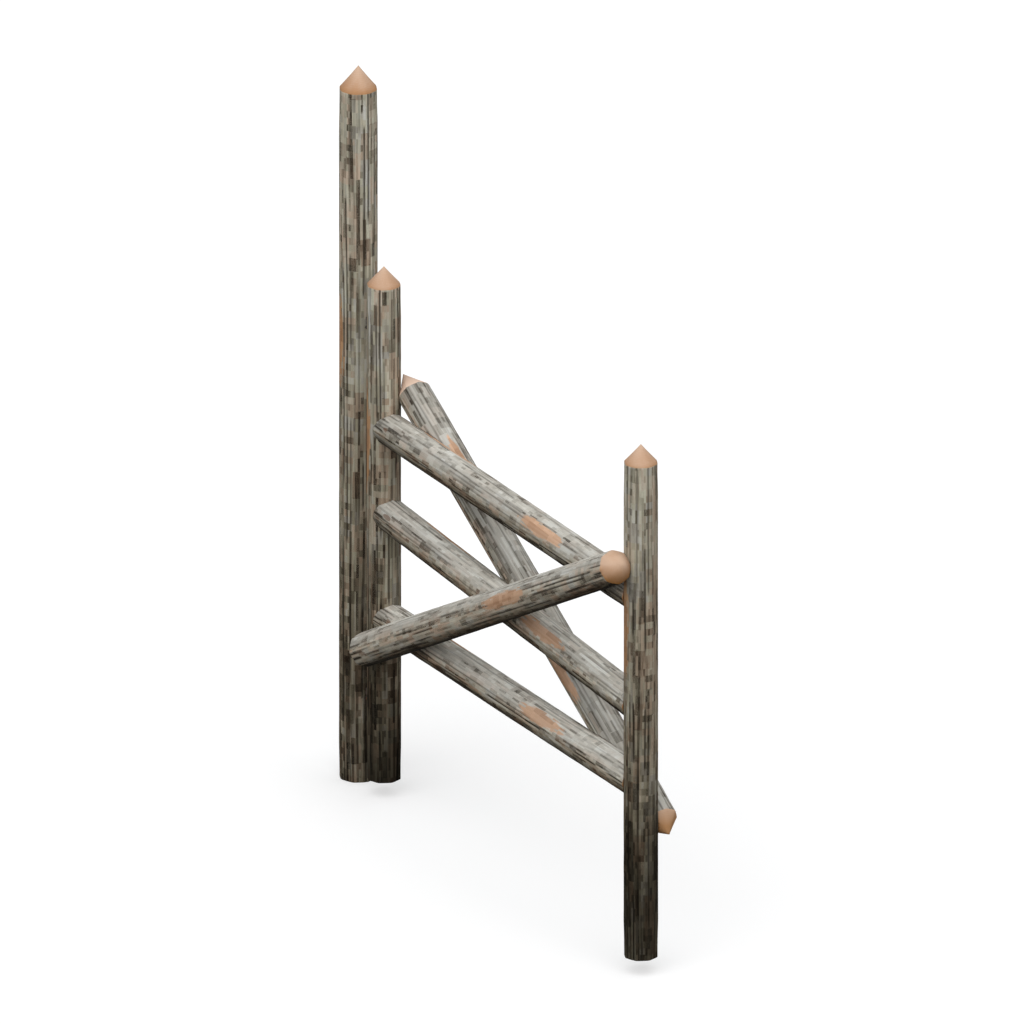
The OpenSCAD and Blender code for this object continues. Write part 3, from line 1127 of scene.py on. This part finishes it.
# %% Define the weather, painted shade and painted light
# How pale each post is at each height over its foot: it is painted darker towards the foot.
PALER_WITH_HEIGHT = {
    "hanging_post": ((0.0, 0.3, 0.8, 1.57, 2.4), (0.15, 0.28, 0.40, 0.80, 1.0)),
    "heel_stile": ((0.0, 0.3, 0.45, 0.95, 1.25, 1.95), (0.0, 0.11, 0.20, 0.64, 0.78, 0.94)),
    "head_stile": ((0.0, 0.3, 0.45, 0.95, 1.25, 1.95), (0.05, 0.06, 0.10, 0.62, 0.79, 0.95)),
}
# Painted light on the upper side of a lying pole.
UPPER_PAINTED_LIGHT = 0.27
# Heights under which a lying pole is painted darker, and its cut wood browner, near the ground.
NEAR_GROUND_HEIGHT = (0.66, 0.42)


def turn_of(place):
    """Direction round the log, from 0 to 1."""
    return (np.arctan2(place[:, 1], place[:, 0]) / math.tau) % 1


def standing_darkening(log, over_foot):
    """Darkening towards the foot of an upright pole, with no bleach, painted top light or near-ground
    darkening.
    """
    low_dark_and_shade = 1 - np.interp(over_foot, *PALER_WITH_HEIGHT[log.name])
    none = np.zeros(len(low_dark_and_shade))
    return low_dark_and_shade, none, none, none


def lying_weather_and_light(log, turn, height):
    """The same for a pole that lies in the leaf."""
    under = np.cos(turn * math.tau)
    # Painted darker near the ground.
    near_ground = ease(*NEAR_GROUND_HEIGHT, height)
    # Painted shade darkens the underside, and near the ground the pole is darker all over; the stronger
    # one counts.
    low_dark_and_shade = np.maximum(ease(*log.grime, under), near_ground)
    # Bleached and painted lighter on top, as light from above.
    bleach_and_top_light = ease(0.1, -0.75, under)
    # Painted light on the upper side.
    upper = UPPER_PAINTED_LIGHT * ease(-0.6, -1.0, under)
    return low_dark_and_shade, bleach_and_top_light, upper, near_ground


print("upright poles:", ", ".join(PALER_WITH_HEIGHT))

# %% [markdown]
# ## Writing the weather and the painted light on a pole
# The paint has to know where the cracks and bare patches are, how dark a place is painted, where
# painted shade and painted light fall, and how a hewn face looks at the sky. Painted images would
# need the bark unwrapped. Values at the corners of the carved mesh don't, and they come from the
# same functions that shaped it. Poles of one gate fade unevenly, and rails that other poles shade
# are painted lighter. The upper point of the back brace is painted paler, as light falling on it.

# %% Define the weathering and the painted light
# Brightness from heel to head: uneven fading, and painted light that lifts the shade other poles cast,
# most on the middle and bottom rails.
FADE_AND_LIGHT = {
    "hanging_post": (1.15, 1.15),
    "heel_stile": (1.10, 1.10),
    "head_stile": (1.05, 1.05),
    "top_rail": (0.97, 0.97),
    "middle_rail": (1.00, 1.22),
    "bottom_rail": (1.18, 1.22),
    "front_brace": (1.10, 1.14),
    "back_brace": (0.87, 0.87),
}
# The upper point of the back brace is painted paler, as light falling on it.
PAINTED_LIGHT_POINT = "back_brace"
PAINTED_LIGHT_BELOW = 0.5
# How dark the darkening low down and the painted shade get at most.
DARKEST_SHARE = 0.965


def skyward(log, place):
    """How far a point looks up at the sky, from -1 to 1, as a round dome would."""
    turned = np.array(log.place.to_3x3())[2]
    out = (place[:, 0] * turned[0] + place[:, 1] * turned[1]) / log.radius
    middle = (log.start + log.stop) / 2
    return 0.75 * out + 0.66 * np.sign(place[:, 2] - middle) * turned[2]


def read_numbers(items, name, width=1, kind=np.float32):
    """One value of all corners or faces of a mesh, as an array."""
    numbers = np.zeros(len(items) * width, kind)
    items.foreach_get(name, numbers)
    return numbers if width == 1 else numbers.reshape(-1, width)


# Writes the weathering together with the painted shade and painted light.
def weather_and_light(log, piece):
    """Writes it all on the corners of a pole's mesh."""
    mesh = piece.data
    place = read_numbers(mesh.vertices, "co", 3)
    own = mesh.attributes.new("log_place", "FLOAT_VECTOR", "POINT")
    own.data.foreach_set("vector", place.ravel())
    place = place.astype(float)
    turn = turn_of(place)
    along = place[:, 2]
    height = place @ np.array(log.place.to_3x3())[2] + log.place.translation.z
    if log.name in PALER_WITH_HEIGHT:
        over_foot = height - log.place.translation.z
        low_dark_and_shade, bleach_and_top_light, upper, near_ground = standing_darkening(log, over_foot)
    else:
        low_dark_and_shade, bleach_and_top_light, upper, near_ground = lying_weather_and_light(log, turn, height)
    fade_and_light = np.interp(along, (log.start, log.stop), FADE_AND_LIGHT[log.name])
    is_painted_light = (along < PAINTED_LIGHT_BELOW) & (log.name == PAINTED_LIGHT_POINT)
    values = {
        "crack": cracks(log, turn, along),
        "bare": bareness(log, turn, along),
        "knot": knot(log, turn, along),
        # Darker low down, and painted shade under a lying pole.
        "low_dark_and_shade": low_dark_and_shade * DARKEST_SHARE,
        # Bleaching and painted light on the upper side of a lying pole.
        "bleach_and_top_light": bleach_and_top_light,
        # Fading, painted light where other poles shade a rail, and painted light on the upper side.
        "fade_and_light": fade_and_light * (1 + upper),
        "pole_seed": np.full(len(place), float(log.seed)),
        # Painted shade where cut wood looks down, and browner near the ground.
        "down_shade_and_low_brown": np.clip(ease(0.40, -0.45, skyward(log, place)) + 1.2 * near_ground, 0, 1),
        # Painted light on the upper point of the back brace.
        "painted_light": is_painted_light.astype(float),
    }
    for name, numbers in values.items():
        layer = mesh.attributes.new(name, "FLOAT", "POINT")
        layer.data.foreach_set("value", numbers.astype(np.float32))
    mesh.transform(log.place)
    piece.matrix_world = Matrix.Identity(4)


print("fresh point on:", PAINTED_LIGHT_POINT)

# %% [markdown]
# ## Softened points
# Weather rounds the arrises between hewn flats long before it wears the flats away. Bevels would
# show it, but cost many faces. So the shape stays, and the directions that the faces report to
# the light are turned part of the way to those of a round dome.

# %% Define the softened points
ON_SURFACE = 0.0004
LEAST_OUT = 1e-6
RIM_OUT = 0.94
RIM_UP = 0.35
SOFTNESS = {"front_brace": 0.92}
LEAST_SOFTNESS = 0.25


def on_point(log, point, place):
    """True for the corners on the hewn flats of a point."""
    turn = turn_of(place)
    out = np.hypot(place[:, 0], place[:, 1])
    close = np.abs(out - hewn_radius(log, point, turn, place[:, 2])) < ON_SURFACE
    past_rim = (place[:, 2] - rim_along(log, point, turn)) * math.copysign(1, point[1])
    return close & (past_rim > -ON_SURFACE)


def dome_normals(log, point, place):
    """Where each corner would look on a round dome, in the gate's frame."""
    out = np.hypot(place[:, 0], place[:, 1])
    left = np.clip(out / (log.radius - HEWN_DEPTH), 0, 1)[:, None]
    radial = np.stack([place[:, 0], place[:, 1], 0 * out], -1) / np.maximum(out, LEAST_OUT)[:, None]
    axis = np.array([0, 0, math.copysign(1, point[1])])
    dome = (1 - left) * axis + left * (RIM_OUT * radial + RIM_UP * axis)
    dome /= np.linalg.norm(dome, axis=1)[:, None]
    return dome @ np.array(log.place.to_3x3()).T


def soften_points(log, piece):
    """Eases the shading of the hewn flats into each other."""
    mesh = piece.data
    place = read_numbers(mesh.attributes["log_place"].data, "vector", 3).astype(float)
    old = read_numbers(mesh.corner_normals, "vector", 3)
    corner = read_numbers(mesh.loops, "vertex_index", kind=np.int32)
    starts, sizes, cut = (read_numbers(mesh.polygons, name, kind=np.int32)
                          for name in ("loop_start", "loop_total", "material_index"))
    share = SOFTNESS.get(log.name, LEAST_SOFTNESS)
    new = np.zeros_like(old)
    for point in log.points:
        on_flat = on_point(log, point, place)[corner]
        whole = np.minimum.reduceat(on_flat, starts).astype(bool) & (cut == 1)
        chosen = np.repeat(whole, sizes)
        mixed = old * (1 - share) + dome_normals(log, point, place)[corner] * share
        mixed /= np.linalg.norm(mixed, axis=1)[:, None]
        new[chosen] = mixed[chosen]
    mesh.normals_split_custom_set(new.tolist())


print("softness of the points:", SOFTNESS, "or", LEAST_SOFTNESS)

# %% [markdown]
# ## All the poles
# Each pole is carved, weathered, given its painted light and shade, and softened. Then it rides on
# the body of its CAD pole, takes its place and shows in its material slot. One loop does this for
# all, so a change to the bark reaches the whole gate at once.

# %% Make all the poles
total = 0
for log in poles:
    piece = carve(log)
    weather_and_light(log, piece)
    if log.points:
        soften_points(log, piece)
    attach(piece, log.body)
    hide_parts(log.name)
    total += len(piece.data.polygons)
    print(piece.name, "triangles", len(piece.data.polygons))
print("triangles in all poles:", total)

# %% [markdown]
# ## Forged iron
# The hooks and eyes are plain smith's work, dark from the fire, with a breath of rust. New shapes
# could be laid over them, but their CAD shape is already right, so they only get their finish.

# %% Paint the hinges
SCALE_BLACK = (70, 66, 64)
RUST = (112, 66, 42)


def iron_material(name):
    material, tree, shader = new_material(name, 0.5, 0.5)
    shader.inputs["Metallic"].default_value = 0.7
    place = tree.nodes.new("ShaderNodeTexCoord").outputs["Object"]
    rust = noise(place, 90.0, 90.0, 4.0, 0.65)
    hammered = noise(place, 260.0, 260.0, 2.0)
    amount = stretch(rust, 0.45, 0.65, 0.0, 0.8, "SMOOTHSTEP")
    colour = blend(amount, paint(SCALE_BLACK), paint(RUST))
    roughness = stretch(rust, 0.4, 0.7, 0.45, 0.9)
    finish(shader, colour, roughness, hammered, 0.4, 0.0006)
    return material


iron = iron_material("forged_iron")
for name in ("lower_hook", "upper_hook", "lower_eye", "upper_eye"):
    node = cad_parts[name]
    for slot in node.material_slots:
        slot.material = iron
    print(name, "has", len(node.material_slots), "slot of", iron.name)

# %% [markdown]
# ## The size
# The bark only went inwards, so the dressed gate has to fit in the box of the bare frame.

# %% Finish
bpy.context.view_layer.update()
